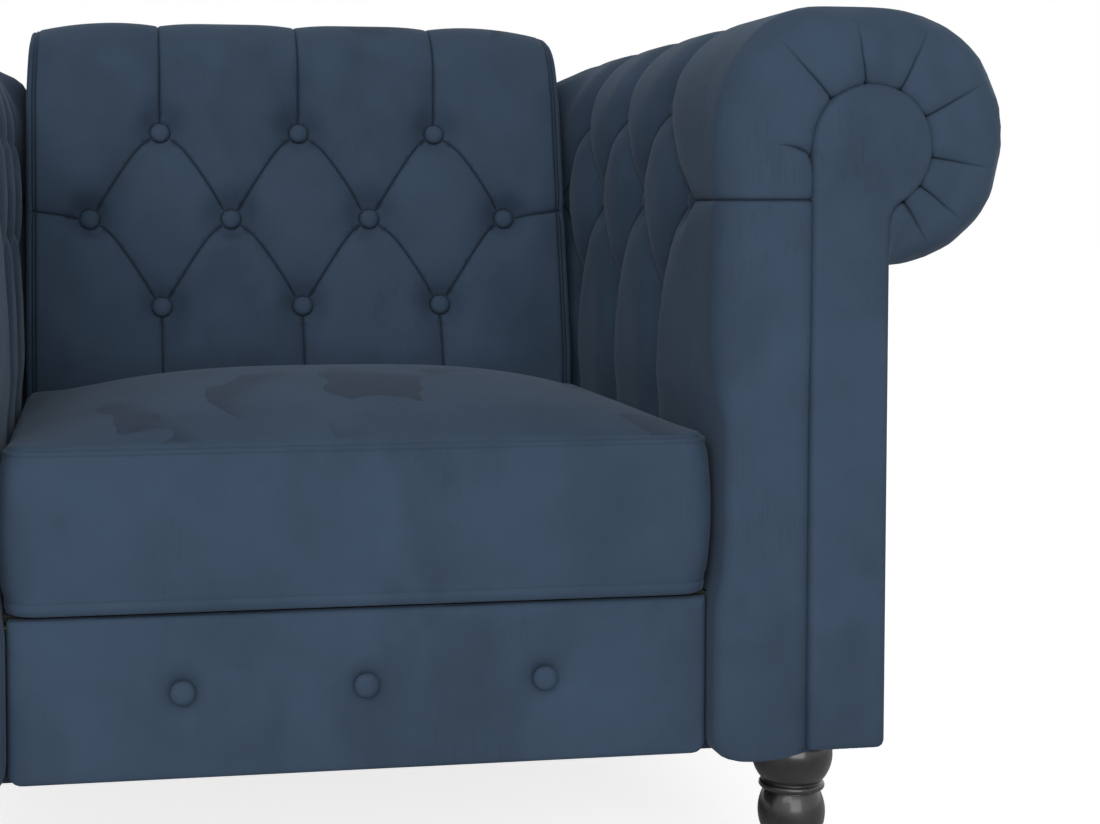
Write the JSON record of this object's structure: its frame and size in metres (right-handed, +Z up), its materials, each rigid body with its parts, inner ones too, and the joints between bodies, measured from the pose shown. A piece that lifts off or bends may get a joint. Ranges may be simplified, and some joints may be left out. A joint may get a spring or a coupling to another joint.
{
  "type": "tufted armchair",
  "caption": "Velvet club armchair with rolled arms, diamond-tufted back and arms, a loose box seat cushion that pulls out, a buttoned front rail and turned black legs.",
  "frame": {"origin": "on the floor under the middle of the chair", "axes": "+X along the chair's width, +Y from the front to the back, +Z up"},
  "size_m": [1.074, 0.818, 0.8011],
  "materials": {
    "velvet": "dark slate-blue velvet with a brushed nap",
    "leg_wood": "turned wood, black semi-gloss lacquer",
    "timber": "plain sawn timber",
    "plywood": "plain plywood",
    "fibreboard": "plain fibreboard",
    "webbing": "woven elastic webbing",
    "black_cloth": "plain black cloth",
    "foam": "cushion foam",
    "zinc_steel": "zinc plated",
    "nylon": "moulded nylon"
  },
  "bodies": {
    "chair": {"arm_buttons_left": "velvet", "arm_buttons_right": "velvet", "arm_facing_left": "velvet", "arm_facing_right": "velvet", "arm_front_board_left": "plywood", "arm_front_board_right": "plywood", "arm_liner_left": "fibreboard", "arm_liner_right": "fibreboard", "arm_outer_panel_left": "velvet", "arm_outer_panel_right": "velvet", "arm_pad_left": "velvet", "arm_pad_right": "velvet", "arm_rear_board_left": "plywood", "arm_rear_board_right": "plywood", "arm_stretcher_left": "timber", "arm_stretcher_right": "timber", "arm_top_rail_left": "timber", "arm_top_rail_right": "timber", "back_bottom_rail": "timber", "back_buttons": "velvet", "back_liner": "fibreboard", "back_pad": "velvet", "back_side_left": "plywood", "back_side_right": "plywood", "back_slats": "timber", "back_top_rail": "timber", "cross_webbing": "webbing", "dust_cover": "black_cloth", "frame_bolts": "zinc_steel", "frame_washers": "zinc_steel", "front_rail": "timber", "leg_blocks": "timber", "leg_bolts": "zinc_steel", "leg_front_left": "leg_wood", "leg_front_right": "leg_wood", "leg_glides": "nylon", "leg_plates": "zinc_steel", "leg_rear_left": "leg_wood", "leg_rear_right": "leg_wood", "long_webbing": "webbing", "outer_back": "velvet", "rail_buttons": "velvet", "rail_cover": "velvet", "roll_former_left": "fibreboard", "roll_former_right": "fibreboard", "seat_deck": "black_cloth", "seat_rear_rail": "timber", "side_rail_left": "timber", "side_rail_right": "timber"},
    "seat_cushion": {"cushion_cover": "velvet", "cushion_core": "foam", "zip_tape": "black_cloth"},
    "zip_slider": {"zip_slider": "zinc_steel"}
  },
  "joints": [
    {"name": "cushion_slide", "type": "slide", "parent": "chair", "child": "seat_cushion", "axis": [0, -1, 0], "range_m": [0, 0.3]},
    {"name": "zip_run", "type": "slide", "parent": "seat_cushion", "child": "zip_slider", "axis": [1, 0, 0], "range_m": [0, 0.4]}
  ]
}
